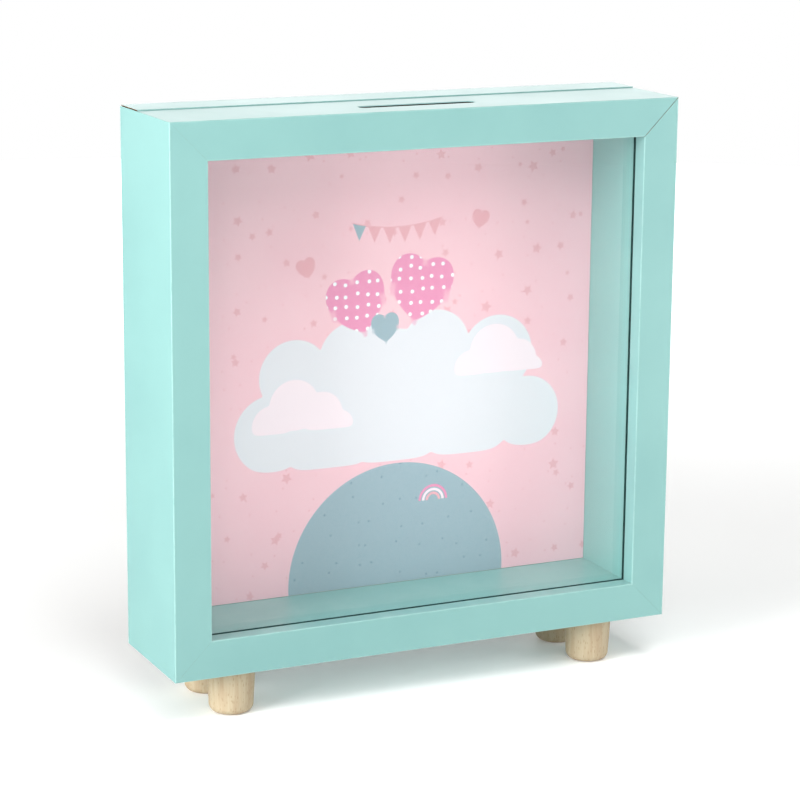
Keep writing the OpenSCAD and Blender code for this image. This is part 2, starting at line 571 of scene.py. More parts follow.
class Finish:
    """A finish on its way to a material: one Principled shader and its tree."""

    def __init__(self, name: str, **plain: object) -> None:
        """Makes the material and sets the plain values of its shader.

        Args:
            name: Name of the material.
            plain: Values of the shader's sockets, with underscores for spaces.
        """
        self.material = bpy.data.materials.new(name)
        self.material.use_nodes = True
        self.graph = Graph(self.material.node_tree)
        self.shader = self.material.node_tree.nodes["Principled BSDF"]
        for label, value in plain.items():
            self.shader.inputs[label.replace("_", " ")].default_value = value
        self.place = self.graph.node("ShaderNodeTexCoord").outputs["Object"]

    def colour(self, source: Socket) -> None:
        """Feeds the surface colour."""
        self.graph.feed(self.shader.inputs["Base Color"], source)

    def roughness(self, source: Socket) -> None:
        """Feeds the roughness."""
        self.graph.feed(self.shader.inputs["Roughness"], source)

    def relief(self, height: Socket, depth: float, strength: float = 1.0) -> None:
        """Feeds the normal from a height.

        Args:
            height: The height, from 0 to 1.
            depth: What a height of 1 stands for, in metres.
            strength: Share of the effect.
        """
        bump = self.graph.call("ShaderNodeBump", {"Strength": strength, "Distance": depth,
                                                  "Height": height})
        self.graph.feed(self.shader.inputs["Normal"], bump.outputs["Normal"])

    def point_value(self, name: str) -> Socket:
        """Reads a number that the piece's points carry."""
        return self.graph.node("ShaderNodeAttribute", attribute_name=name).outputs["Fac"]


# ---------------------------------------------------------------- finishes


@dataclass(frozen=True)
class MintPaint:
    """Satin mint paint, sprayed on board and rubbed a little on its edges."""

    colour: Colour = tint(124, 170, 167)
    cloudy: Colour = tint(129, 175, 171)
    rubbed: Colour = tint(173, 208, 203)
    dusty: Colour = tint(209, 221, 219)
    roughness: float = 0.33
    pebble: float = 620.0
    cloud: float = 18.0
    worn: float = 0.5
    dust: float = 0.12
    relief: float = 0.05 * MM
    strength: float = 0.35

    def make(self, effects: Effects) -> bpy.types.Material:
        """Builds the material.

        Args:
            effects: The shared effects.

        Returns:
            The material.
        """
        f = Finish("mint_paint", IOR=1.5, Specular_IOR_Level=0.5)
        g = f.graph
        tooth = g.group(effects.tooth, Place=f.place, Pebble=self.pebble,
                        Cloud=self.cloud).outputs
        edge = f.point_value("edge")
        wear = g.group(effects.wear, Place=f.place, Edge=edge,
                       Amount=self.worn).outputs["Mask"]
        dust = g.group(effects.dust, Place=f.place, Amount=self.dust).outputs["Mask"]
        colour = g.blend(tooth["Tone"], self.colour, self.cloudy)
        colour = g.blend(g.math("MULTIPLY", wear, 0.3), colour, self.rubbed)
        f.colour(g.blend(dust, colour, self.dusty))
        rough = g.math("ADD", self.roughness, g.math("MULTIPLY", tooth["Tone"], 0.05))
        rough = g.math("ADD", rough, g.math("MULTIPLY", dust, 0.25))
        f.roughness(g.math("ADD", rough, g.math("MULTIPLY", wear, 0.08)))
        f.relief(tooth["Height"], self.relief, self.strength)
        return f.material


@dataclass(frozen=True)
class BareBoard:
    """Bare fibreboard, as a saw leaves it, or near-black as painted shade on the walls of the coin
    slot.
    """

    name: str = "bare_board"
    light: Colour = tint(150, 118, 84)
    dark: Colour = tint(104, 76, 50)
    fibre: float = 1600.0
    pebble: float = 1800.0
    cloud: float = 60.0
    relief: float = 0.12 * MM
    strength: float = 0.6

    def make(self, effects: Effects) -> bpy.types.Material:
        """Builds the material.

        Args:
            effects: The shared effects.

        Returns:
            The material.
        """
        f = Finish(self.name, IOR=1.45)
        g = f.graph
        fibres = g.group(effects.fibres, Place=f.place, Size=self.fibre).outputs
        tooth = g.group(effects.tooth, Place=f.place, Pebble=self.pebble,
                        Cloud=self.cloud).outputs
        colour = g.blend(fibres["Fleck"], self.dark, self.light)
        f.colour(g.blend(g.math("MULTIPLY", tooth["Tone"], 0.25), colour, self.dark))
        f.roughness(g.step(fibres["Height"], 0.2, 0.8, 0.82, 0.95))
        f.relief(g.math("ADD", fibres["Height"], tooth["Height"]), self.relief, self.strength)
        return f.material


@dataclass(frozen=True)
class Hardboard:
    """Brown hardboard with the faint mesh that its pressing screen leaves."""

    light: Colour = tint(142, 104, 70)
    dark: Colour = tint(112, 78, 50)
    screen: float = 1.4 * MM
    fibre: float = 1100.0
    pebble: float = 1500.0
    cloud: float = 26.0
    relief: float = 0.12 * MM
    strength: float = 0.6

    def make(self, effects: Effects) -> bpy.types.Material:
        """Builds the material.

        Args:
            effects: The shared effects.

        Returns:
            The material.
        """
        f = Finish("hardboard", IOR=1.45)
        g = f.graph
        fibres = g.group(effects.fibres, Place=f.place, Size=self.fibre).outputs
        tooth = g.group(effects.tooth, Place=f.place, Pebble=self.pebble,
                        Cloud=self.cloud).outputs
        x, _, z = g.split(f.place)
        turn = 2 * math.pi / self.screen
        warp = g.math("SINE", g.math("MULTIPLY", x, turn))
        weft = g.math("SINE", g.math("MULTIPLY", z, turn))
        mesh = g.math("MULTIPLY", g.math("MULTIPLY", warp, weft), 0.35)
        colour = g.blend(fibres["Fleck"], self.dark, self.light)
        colour = g.blend(g.math("MULTIPLY", tooth["Tone"], 0.3), colour, self.dark)
        f.colour(g.blend(g.step(mesh, 0.1, 0.35, 0.0, 0.18), colour, self.dark))
        f.roughness(g.step(fibres["Height"], 0.2, 0.8, 0.5, 0.72))
        f.relief(g.math("ADD", mesh, fibres["Height"]), self.relief, self.strength)
        return f.material


@dataclass(frozen=True)
class TurnedWood:
    """Pale beech, turned and sanded, with short dark flecks along the grain."""

    light: Colour = tint(185, 171, 143)
    dark: Colour = tint(172, 151, 122)
    fleck: Colour = tint(147, 121, 88)
    pebble: float = 2200.0
    cloud: float = 70.0
    band: float = 420.0
    streak: float = 1500.0
    ray: float = 1500.0
    relief: float = 0.05 * MM
    strength: float = 0.5

    def make(self, effects: Effects) -> bpy.types.Material:
        """Builds the material.

        Args:
            effects: The shared effects.

        Returns:
            The material.
        """
        f = Finish("turned_wood", IOR=1.46)
        g = f.graph
        tooth = g.group(effects.tooth, Place=f.place, Pebble=self.pebble,
                        Cloud=self.cloud).outputs
        bend = g.noise(f.place, 45.0, 2.0)
        shifted = g.vector("ADD", f.place, self.sway(g, bend))
        bands = g.noise(g.stretch(shifted, (1.0, 1.0, 0.07)), self.band, 4.0, 0.6)
        streaks = g.noise(g.stretch(shifted, (1.0, 1.0, 0.05)), self.streak, 2.0, 0.5)
        rays = g.call("ShaderNodeTexVoronoi", {
            "Vector": g.stretch(shifted, (1.0, 1.0, 0.24)), "Scale": self.ray,
            "Randomness": 1.0}).outputs["Distance"]
        flecks = g.step(rays, 0.16, 0.30, 1.0, 0.0)
        colour = g.blend(g.step(bands, 0.35, 0.68), self.light, self.dark)
        colour = g.blend(g.step(streaks, 0.45, 0.72, 0.0, 0.4), colour, self.dark)
        f.colour(g.blend(g.math("MULTIPLY", flecks, 0.55), colour, self.fleck))
        f.roughness(g.step(bands, 0.2, 0.8, 0.5, 0.64))
        height = g.math("SUBTRACT", g.math("ADD", streaks, tooth["Height"]), flecks)
        f.relief(height, self.relief, self.strength)
        return f.material

    @staticmethod
    def sway(g: Graph, bend: Socket) -> Socket:
        """Turns a slow change into a small sideways shift of the grain."""
        return g.join(g.math("MULTIPLY", bend, 0.004), g.math("MULTIPLY", bend, 0.003))


@dataclass(frozen=True)
class ClearGlass:
    """Clear float glass that lets lamp light through to what is behind it."""

    colour: Colour = tint(250, 254, 253)
    ior: float = 1.5
    pebble: float = 300.0
    cloud: float = 30.0
    haze: float = 0.012

    def make(self, effects: Effects) -> bpy.types.Material:
        """Builds the material.

        Args:
            effects: The shared effects.

        Returns:
            The material.
        """
        f = Finish("clear_glass", Base_Color=self.colour, IOR=self.ior,
                   Transmission_Weight=1.0)
        g = f.graph
        haze = g.group(effects.tooth, Place=f.place, Pebble=self.pebble,
                       Cloud=self.cloud).outputs["Tone"]
        f.roughness(g.math("MULTIPLY", haze, self.haze))
        path = g.node("ShaderNodeLightPath")
        lamp = g.math("MAXIMUM", path.outputs["Is Shadow Ray"], path.outputs["Is Diffuse Ray"])
        clear = g.call("ShaderNodeBsdfTransparent", {"Color": self.colour})
        mix = g.feed_all(g.node("ShaderNodeMixShader"), lamp, f.shader.outputs[0],
                         clear.outputs[0])
        out = next(n for n in f.material.node_tree.nodes if n.type == "OUTPUT_MATERIAL")
        g.feed(out.inputs["Surface"], mix.outputs[0])
        return f.material


@dataclass(frozen=True)
class GroundEdge:
    """Deep bottle green: the ground rim of the pane; made darker, the same finish lines the glass
    groove as painted shade.
    """

    name: str = "ground_edge"
    colour: Colour = tint(26, 74, 70)
    pale: Colour = tint(52, 104, 98)
    pebble: float = 2500.0
    cloud: float = 90.0
    relief: float = 0.03 * MM
    strength: float = 0.6

    def make(self, effects: Effects) -> bpy.types.Material:
        """Builds the material.

        Args:
            effects: The shared effects.

        Returns:
            The material.
        """
        f = Finish(self.name, IOR=1.5)
        g = f.graph
        tooth = g.group(effects.tooth, Place=f.place, Pebble=self.pebble,
                        Cloud=self.cloud).outputs
        f.colour(g.blend(tooth["Tone"], self.colour, self.pale))
        f.roughness(g.step(tooth["Height"], 0.2, 0.8, 0.35, 0.6))
        f.relief(tooth["Height"], self.relief, self.strength)
        return f.material


@dataclass(frozen=True)
class PinSteel:
    """Drawn steel wire with fine lines along it."""

    colour: Colour = tint(176, 178, 182)
    dark: Colour = tint(132, 134, 140)
    pebble: float = 6000.0
    cloud: float = 400.0

    def make(self, effects: Effects) -> bpy.types.Material:
        """Builds the material.

        Args:
            effects: The shared effects.

        Returns:
            The material.
        """
        f = Finish("pin_steel", Metallic=1.0)
        g = f.graph
        tooth = g.group(effects.tooth, Place=g.stretch(f.place, (0.05, 0.05, 1.0)),
                        Pebble=self.pebble, Cloud=self.cloud).outputs
        f.colour(g.blend(tooth["Tone"], self.colour, self.dark))
        f.roughness(g.step(tooth["Height"], 0.2, 0.8, 0.28, 0.5))
        return f.material


@dataclass(frozen=True)
class CardCore:
    """The white uncoated edge and back of the card."""

    colour: Colour = tint(240, 240, 236)
    shade: Colour = tint(222, 220, 214)
    fibre: float = 2600.0
    relief: float = 0.03 * MM
    strength: float = 0.4

    def make(self, effects: Effects) -> bpy.types.Material:
        """Builds the material.

        Args:
            effects: The shared effects.

        Returns:
            The material.
        """
        f = Finish("card_core")
        g = f.graph
        fibres = g.group(effects.fibres, Place=f.place, Size=self.fibre).outputs
        f.colour(g.blend(fibres["Fleck"], self.shade, self.colour))
        f.roughness(g.step(fibres["Height"], 0.2, 0.8, 0.8, 0.92))
        f.relief(fibres["Height"], self.relief, self.strength)
        return f.material


class Ink(Enum):
    """Inks of the printed card."""

    PINK = tint(250, 190, 202)
    PINK_LIGHT = tint(252, 195, 206)
    CORAL = tint(238, 162, 174)
    ROSE = tint(238, 136, 178)
    BLUSH = tint(252, 225, 234)
    CLOUD = tint(232, 222, 230)
    SLATE = tint(149, 168, 181)
    SLATE_DOT = tint(125, 147, 163)
    WHITE = tint(252, 242, 246)


@dataclass(frozen=True)
class Disc:
    """A round shape on the card: its middle and radius in millimetres."""

    across: float
    up: float
    radius: float


@dataclass(frozen=True)
class Cloud:
    """A cloud of overlapping discs, cut off level below, in one ink."""

    discs: tuple[Disc, ...]
    base: float
    ink: Ink


@dataclass(frozen=True)
class Heart:
    """A heart on the card: its middle, half width, tilt and ink."""

    across: float
    up: float
    half: float
    tilt: float
    ink: Ink


@dataclass(frozen=True)
class Bunting:
    """A row of small pointed flags: its left end, height, flag size and count."""

    left: float = -15.0
    up: float = 51.5
    pitch: float = 6.2
    drop: float = 6.0
    count: int = 6
    sag: float = 2.6


@dataclass(frozen=True)
class PrintedCard:
    """Pink card printed with clouds over a hill, hearts, small flags and scattered stars.

    Shapes are drawn in millimetres from the middle of the card.
    """

    middle: tuple[float, float]
    soft: float = 0.12
    notch_soft: float = 1.2
    base_soft: float = 4.0
    flag_fill: float = 0.86
    line_half: float = 0.25
    band_step: float = 1.5
    band_half: float = 0.5
    fibre: float = 2400.0
    pebble: float = 2600.0
    cloud: float = 24.0
    relief: float = 0.02 * MM
    strength: float = 0.3
    clouds: tuple[Cloud, ...] = (
        Cloud((Disc(3, -14, 27), Disc(-24, -19, 23), Disc(33, -17, 24), Disc(-47, -23, 15),
               Disc(59, -24, 14), Disc(-38, -2, 14), Disc(46, 0, 15), Disc(-14, 3, 14),
               Disc(20, 5, 14)), -38.0, Ink.CLOUD),
        Cloud((Disc(-47, -20, 8), Disc(-38, -13, 10), Disc(-27, -17, 8.5), Disc(-20, -22, 6)),
              -23.0, Ink.BLUSH),
        Cloud((Disc(35, -5, 7), Disc(45, 1, 10.5), Disc(55, -3, 8), Disc(61, -7, 5)),
              -7.5, Ink.BLUSH),
    )
    hill: Disc = Disc(4.5, -84, 45)
    hearts: tuple[Heart, ...] = (
        Heart(-12, 22, 10.5, 15, Ink.ROSE), Heart(13, 26, 11.5, -11, Ink.ROSE),
        Heart(-1, 13, 5.0, 4, Ink.SLATE),
        Heart(-33, 38, 3.4, 16, Ink.CORAL), Heart(38, 52, 3.2, -12, Ink.CORAL),
    )
    rainbow: Disc = Disc(19.5, -55, 5.6)
    bunting: Bunting = Bunting()

    def make(self, effects: Effects) -> bpy.types.Material:
        """Builds the material.

        Args:
            effects: The shared effects.

        Returns:
            The material.
        """
        f = Finish("printed_card", IOR=1.45)
        g = f.graph
        place = self.card_place(g, f.place)
        fibres = g.group(effects.fibres, Place=f.place, Size=self.fibre).outputs
        tooth = g.group(effects.tooth, Place=f.place, Pebble=self.pebble,
                        Cloud=self.cloud).outputs
        colour = g.blend(tooth["Tone"], Ink.PINK.value, Ink.PINK_LIGHT.value)
        scatter = self.build_scatter()
        for pitch, size, shift in ((17.0, 2.3, 0.0), (24.0, 1.5, 7.0)):
            moved = g.vector("ADD", place, (shift, shift * 0.6, 0.0))
            stars = g.group(scatter, Place=moved, Pitch=pitch, Size=size).outputs["Mask"]
            colour = g.blend(g.math("MULTIPLY", stars, 0.8), colour, Ink.CORAL.value)
        dots = self.lattice(g, place, 10.0, 0.38, 1.0)
        colour = g.blend(g.math("MULTIPLY", dots, 0.7), colour, Ink.CORAL.value)
        colour = self.draw_hill(g, place, colour)
        for cloud in self.clouds:
            colour = self.draw_cloud(g, place, colour, cloud)
        colour = self.draw_bunting(g, place, colour)
        colour = self.draw_hearts(g, place, colour)
        f.colour(g.blend(g.math("MULTIPLY", fibres["Fleck"], 0.05), colour, Ink.WHITE.value))
        f.roughness(g.step(tooth["Height"], 0.2, 0.8, 0.5, 0.62))
        f.relief(fibres["Height"], self.relief, self.strength)
        return f.material

    def card_place(self, g: Graph, place: Socket) -> Socket:
        """Turns a place in metres into a place on the card in millimetres.

        Args:
            g: The tree.
            place: The place.

        Returns:
            The distances across and up from the card's middle.
        """
        x, _, z = g.split(place)
        across = g.math("DIVIDE", g.math("SUBTRACT", x, self.middle[0]), MM)
        up = g.math("DIVIDE", g.math("SUBTRACT", z, self.middle[1]), MM)
        return g.join(across, up)

    def outside(self, g: Graph, place: Socket, disc: Disc) -> Socket:
        """Gives the distance outside a disc, negative inside it."""
        far = g.vector("DISTANCE", place, (disc.across, disc.up, 0.0))
        return g.math("SUBTRACT", far, disc.radius)

    def inside(self, g: Graph, distance: Socket) -> Socket:
        """Turns a distance outside a shape into a mask with a crisp soft edge."""
        return g.step(distance, -self.soft, self.soft, 1.0, 0.0)

    def above(self, g: Graph, place: Socket, height: float) -> Socket:
        """Gives a mask of what lies above a height on the card."""
        return g.step(g.split(place)[1], height - self.soft, height + self.soft)

    def lattice(self, g: Graph, place: Socket, pitch: float, radius: float,
                spread: float) -> Socket:
        """Gives a mask of small dots, one in each cell.

        Args:
            g: The tree.
            place: Place on the card.
            pitch: Distance between the dots.
            radius: Radius of a dot.
            spread: 0 for a straight lattice, 1 for an uneven one.

        Returns:
            The mask.
        """
        cells = g.call("ShaderNodeTexVoronoi", {"Vector": place, "Scale": 1 / pitch,
                                                "Randomness": spread},
                       voronoi_dimensions="2D")
        away = g.math("MULTIPLY", cells.outputs["Distance"], pitch)
        return self.inside(g, g.math("SUBTRACT", away, radius))

    def build_scatter(self) -> bpy.types.NodeTree:
        """Builds small five-pointed stars, one in most cells, each turned its own way.

        Formula: the angle round the star's middle is folded into a tenth of a turn. There
        a star's edge is one straight line from a point to the notch beside it.

        Returns:
            The group.
        """
        fold, notch = math.pi / 5, 0.5
        g = GroupBuilder("star_scatter", {"Place": None, "Pitch": 18.0, "Size": 2.4}, ("Mask",))
        place, size = g.start["Place"], g.start["Size"]
        cells = g.call("ShaderNodeTexVoronoi", {
            "Vector": place, "Scale": g.math("DIVIDE", 1.0, g.start["Pitch"]),
            "Randomness": 0.72}, voronoi_dimensions="2D")
        middle = cells.outputs["Position"]
        chance = g.call("ShaderNodeTexWhiteNoise", {"Vector": middle}, noise_dimensions="2D")
        luck = chance.outputs["Value"]
        away = g.vector("SUBTRACT", place, middle)
        x, y, _ = g.split(away)
        angle = g.math("ADD", g.math("ARCTAN2", y, x), g.math("MULTIPLY", luck, 40.0))
        folded = g.math("PINGPONG", angle, fold)
        far = g.vector("LENGTH", away)
        tip = g.math("MULTIPLY", size, g.step(luck, 0.0, 1.0, 0.75, 1.15))
        side = (notch * math.sin(fold), 1 - notch * math.cos(fold))
        span = math.hypot(*side)
        along = g.math("SUBTRACT", g.math("MULTIPLY", far, g.math("COSINE", folded)), tip)
        across = g.math("MULTIPLY", far, g.math("SINE", folded))
        edge = g.math("ADD", g.math("MULTIPLY", along, side[0] / span),
                      g.math("MULTIPLY", across, side[1] / span))
        shown = g.math("LESS_THAN", luck, 0.82)
        return g.give(Mask=g.math("MULTIPLY", self.inside(g, edge), shown))

    def draw_hill(self, g: Graph, place: Socket, colour: Socket) -> Socket:
        """Paints the hill, its dots and the small rainbow on it.

        Args:
            g: The tree.
            place: Place on the card.
            colour: Colour so far.

        Returns:
            The colour with the hill on it.
        """
        hill = self.inside(g, self.outside(g, place, self.hill))
        dots = self.lattice(g, place, 9.5, 0.5, 0.9)
        ground = g.blend(dots, Ink.SLATE.value, Ink.SLATE_DOT.value)
        upper = self.above(g, place, self.rainbow.up)
        for step, ink in enumerate((Ink.ROSE, Ink.BLUSH, Ink.CORAL)):
            off = g.math("ADD", self.outside(g, place, self.rainbow),
                         self.band_step * step)
            band = self.inside(g, g.math("SUBTRACT", g.math("ABSOLUTE", off), self.band_half))
            ground = g.blend(g.math("MULTIPLY", band, upper), ground, ink.value)
        return g.blend(hill, colour, ground)

    def draw_cloud(self, g: Graph, place: Socket, colour: Socket, cloud: Cloud) -> Socket:
        """Paints one cloud: discs joined with softened notches, above a level base.

        Args:
            g: The tree.
            place: Place on the card.
            colour: Colour so far.
            cloud: The cloud.

        Returns:
            The colour with the cloud on it.
        """
        nearest = self.outside(g, place, cloud.discs[0])
        for disc in cloud.discs[1:]:
            nearest = g.math("SMOOTH_MIN", nearest, self.outside(g, place, disc),
                             self.notch_soft)
        level = g.math("SUBTRACT", cloud.base, g.split(place)[1])
        shape = g.math("SMOOTH_MAX", nearest, level, self.base_soft)
        return g.blend(self.inside(g, shape), colour, cloud.ink.value)

    def draw_bunting(self, g: Graph, place: Socket, colour: Socket) -> Socket:
        """Paints the row of flags on its sagging line, the first flag slate.

        Formula: the line is a parabola. Below it, a flag is as wide as its pitch at the
        line and comes to a point at its drop, which is one straight edge once the distance
        from the flag's middle is folded to one side.

        Args:
            g: The tree.
            place: Place on the card.
            colour: Colour so far.

        Returns:
            The colour with the flags on it.
        """
        row = self.bunting
        width = row.pitch * row.count
        x, y, _ = g.split(place)
        along = g.math("SUBTRACT", x, row.left)
        centred = g.math("DIVIDE", g.math("SUBTRACT", along, width / 2), width / 2)
        rise = g.math("MULTIPLY", g.math("POWER", g.math("ABSOLUTE", centred), 2.0), row.sag)
        below = g.math("SUBTRACT", g.math("ADD", rise, row.up), y)
        side = g.math("PINGPONG", g.math("ADD", along, row.pitch / 2), row.pitch / 2)
        half = row.pitch / 2 * self.flag_fill
        slope = g.math("SUBTRACT", half, g.math("MULTIPLY", below, half / row.drop))
        edge = g.math("MAXIMUM", g.math("SUBTRACT", side, slope),
                      g.math("MULTIPLY", below, -1.0))
        ends = g.math("SUBTRACT", g.math("ABSOLUTE", g.math("SUBTRACT", along, width / 2)),
                      width / 2)
        flags = self.inside(g, g.math("MAXIMUM", edge, ends))
        line = self.inside(g, g.math("MAXIMUM", ends, g.math(
            "SUBTRACT", g.math("ABSOLUTE", below), self.line_half)))
        first = g.math("LESS_THAN", along, row.pitch)
        ink = g.blend(first, Ink.CORAL.value, Ink.SLATE.value)
        colour = g.blend(flags, colour, ink)
        return g.blend(g.math("MULTIPLY", line, 0.8), colour, Ink.CORAL.value)

    def draw_hearts(self, g: Graph, place: Socket, colour: Socket) -> Socket:
        """Paints the hearts, the large ones with white dots.

        Formula: with x across and y up in half widths, the heart is where the cube of
        (x squared + y squared - 1) is less than x squared times y cubed.

        Args:
            g: The tree.
            place: Place on the card.
            colour: Colour so far.

        Returns:
            The colour with the hearts on it.
        """
        dots = self.lattice(g, place, 4.4, 0.75, 0.3)
        for heart in self.hearts:
            local = g.vector("SUBTRACT", place, (heart.across, heart.up, 0.0))
            turned = g.call("ShaderNodeVectorRotate", {
                "Vector": local, "Angle": math.radians(-heart.tilt)}, rotation_type="Z_AXIS")
            scaled = g.vector("DIVIDE", turned.outputs[0], (heart.half,) * 3)
            x, y, _ = g.split(scaled)
            wide = g.math("MULTIPLY", x, x)
            ball = g.math("SUBTRACT", g.math("ADD", wide, g.math("MULTIPLY", y, y)), 1.0)
            lobes = g.math("MULTIPLY", wide, g.math("POWER", y, 3.0))
            value = g.math("SUBTRACT", g.math("POWER", ball, 3.0), lobes)
            mask = g.step(value, -0.02, 0.02, 1.0, 0.0)
            ink = heart.ink.value
            if heart.ink is Ink.ROSE:
                ink = g.blend(dots, ink, Ink.WHITE.value)
            colour = g.blend(mask, colour, ink)
        return colour


@dataclass
class Palette:
    """Every finish of the box, made once."""

    card_middle: tuple[float, float]
    effects: Effects = field(default_factory=Effects)

    def __post_init__(self) -> None:
        """Makes the materials."""
        self.paint = MintPaint().make(self.effects)
        self.bare = BareBoard().make(self.effects)
        # Painted shade: near-black board on the coin slot's walls stands in for the shade inside
        # the narrow slot.
        slot_shade = BareBoard("painted_slot_shade", light=tint(52, 46, 34), dark=tint(26, 24, 17))
        self.slot_shade = slot_shade.make(self.effects)
        # Painted shade: a darker bottle green lines the glass groove and stands in for the shade
        # deep in the groove, seen through the pane.
        groove_shade = GroundEdge("painted_groove_shade", colour=tint(8, 48, 46), pale=tint(16, 64, 60))
        self.groove_shade = groove_shade.make(self.effects)
        self.hardboard = Hardboard().make(self.effects)
        self.wood = TurnedWood().make(self.effects)
        self.glass = ClearGlass().make(self.effects)
        self.rim = GroundEdge().make(self.effects)
        self.steel = PinSteel().make(self.effects)
        self.core = CardCore().make(self.effects)
        self.card = PrintedCard(self.card_middle).make(self.effects)

    def board_finishes(self) -> list[bpy.types.Material]:
        """Gives the materials of a board, in the order of the linings."""
        return [self.paint, self.bare, self.groove_shade, self.slot_shade]


# ---------------------------------------------------------------- boards


class Side(Enum):
    """Sides of the frame, as quarter turns from the bottom."""

    BOTTOM = 0
    RIGHT = 1
    TOP = 2
    LEFT = 3


class Lining(Enum):
    """What a face of a board shows, as the number of its slot."""

    PAINT = 0
    BARE = 1
    # Painted shade: the dark green lining of the glass groove.
    GROOVE_SHADE = 2
    # Painted shade: the near-black walls of the coin slot.
    SLOT_SHADE = 3


@dataclass(frozen=True)
class Groove:
    """A groove along a board's inner face: start and width behind its front, depth, lining."""

    start: float
    width: float
    depth: float
    lining: Lining = Lining.BARE


@dataclass(frozen=True)
class Joint:
    """How tightly the two ends of a board are joined: half the gap at each."""

    low_end: float = 0.015 * MM
    high_end: float = 0.015 * MM


@dataclass
class Timber:
    """A length of board with softened long edges, grooves inside and mitred ends.

    It is worked out lying along x, with its outer face down at zero height.
    """

    length: float
    depth: float
    thick: float
    grooves: tuple[Groove, ...]
    joint: Joint = Joint()
    arris: float = 0.27 * MM
    end_cut: float = 0.0
    seed: int = 0
    edge_wander: float = 0.16
    gap_wander: float = 0.7
    arc_steps: int = 5
    stations: int = 61

    def outline(self) -> tuple[np.ndarray, np.ndarray, np.ndarray, np.ndarray]:
        """Works out the cross section, in the order outer, back, inner and front face.

        Formula: a corner's points are its sharp corner plus the edge radius times
        (1 + cos a, 1 + sin a), turned to face inwards, for angles a over a quarter turn.

        Returns:
            Sharp places, the part that grows with the edge radius, whether each point is on
            a rounded edge, and the lining of the stretch after each point.
        """
        sharp, swell, edge, lining = [], [], [], []

        def add(place: tuple[float, float], grow: tuple[float, float] = (0.0, 0.0),
                rounded: float = 0.0, shows: Lining = Lining.PAINT) -> None:
            """Appends one point of the section.

            Args:
                place: Its sharp place.
                grow: The part that grows with the edge radius.
                rounded: 1 on a rounded edge.
                shows: Lining of the stretch after it.
            """
            sharp.append(place)
            swell.append(grow)
            edge.append(rounded)
            lining.append(shows.value)

        margin = 4 * self.arris
        depth, thick = self.depth, self.thick
        corners = (((0.0, 0.0), (1, 1), math.pi), ((depth, 0.0), (-1, 1), 1.5 * math.pi),
                   ((depth, thick), (-1, -1), 0.0), ((0.0, thick), (1, -1), math.pi / 2))
        for number, ((y, z), (sy, sz), begin) in enumerate(corners):
            if number == 3:
                for groove in sorted(self.grooves, key=lambda item: -item.start):
                    far, near = groove.start + groove.width, groove.start
                    floor = thick - groove.depth
                    for place in ((far, thick), (far, floor), (near, floor)):
                        add(place, shows=groove.lining)
                    add((near, thick))
            lead = (y, z + margin * sz) if number % 2 == 0 else (y + margin * sy, z)
            tail = (y + margin * sy, z) if number % 2 == 0 else (y, z + margin * sz)
            add(lead)
            for angle in begin + np.linspace(0, math.pi / 2, self.arc_steps + 1):
                add((y, z), (sy + math.cos(angle), sz + math.sin(angle)), 1.0)
            add(tail)
        return np.array(sharp), np.array(swell), np.array(edge), np.array(lining)

    def surface(self) -> tuple[np.ndarray, np.ndarray, np.ndarray]:
        """Carries the section along the board.

        Formula: at a station s from -1 to 1 the section's point (y, z) lies at
        x = s times (half length - z - gap), so the ends come out at 45 degrees. The edge
        radius and the gap change a little along the edges.

        Returns:
            Points of shape (stations, section points, 3), edge values, linings.
        """
        sharp, swell, edge, lining = self.outline()
        share = np.sin(np.linspace(-1, 1, self.stations) * math.pi / 2)
        radius = self.arris * (1 + self.edge_wander * waves(share * self.length / 2, self.seed))
        section = sharp[None] + radius[:, None, None] * swell[None]
        y, z = section[..., 0], section[..., 1]
        half = self.length / 2 - self.end_cut
        gaps = np.where(share < 0, self.joint.low_end, self.joint.high_end)[:, None]
        uneven = 1 + self.gap_wander * waves(y + 1.7 * z, self.seed + 7, shortest=2 * MM)
        x = share[:, None] * (half - z - gaps * uneven)
        return np.stack([x, y, z], -1), edge, lining

    def build(self, name: str, side: Side, middle: Vector, front: float, reach: float,
              finishes: list[bpy.types.Material]) -> bpy.types.Object:
        """Makes the board on its side of the frame.

        Args:
            name: Name of the piece.
            side: Side of the frame.
            middle: Middle of the frame.
            front: Place of the board's front edge along y.
            reach: Distance from the middle of the frame to the board's outer face.
            finishes: Its materials, in the order of the linings.

        Returns:
            The piece.
        """
        points, edge, lining = self.surface()
        rings, count = points.shape[:2]
        flat = points.reshape(-1, 3)
        angle = -math.pi / 2 * side.value
        x, z = flat[:, 0], flat[:, 2] - reach
        vertices = np.stack([
            middle.x + x * math.cos(angle) + z * math.sin(angle),
            front + flat[:, 1],
            middle.z - x * math.sin(angle) + z * math.cos(angle),
        ], -1)
        faces = tube_faces(rings, count)
        ends = [Lining.BARE.value] * 2
        which = np.concatenate([np.tile(lining, rings - 1), ends])
        piece = make_solid(name, vertices, faces, finishes, which)
        add_point_value(piece, "edge", np.tile(edge, rings))
        piece.modifiers.new("even_shading", "WEIGHTED_NORMAL").keep_sharp = True
        return piece


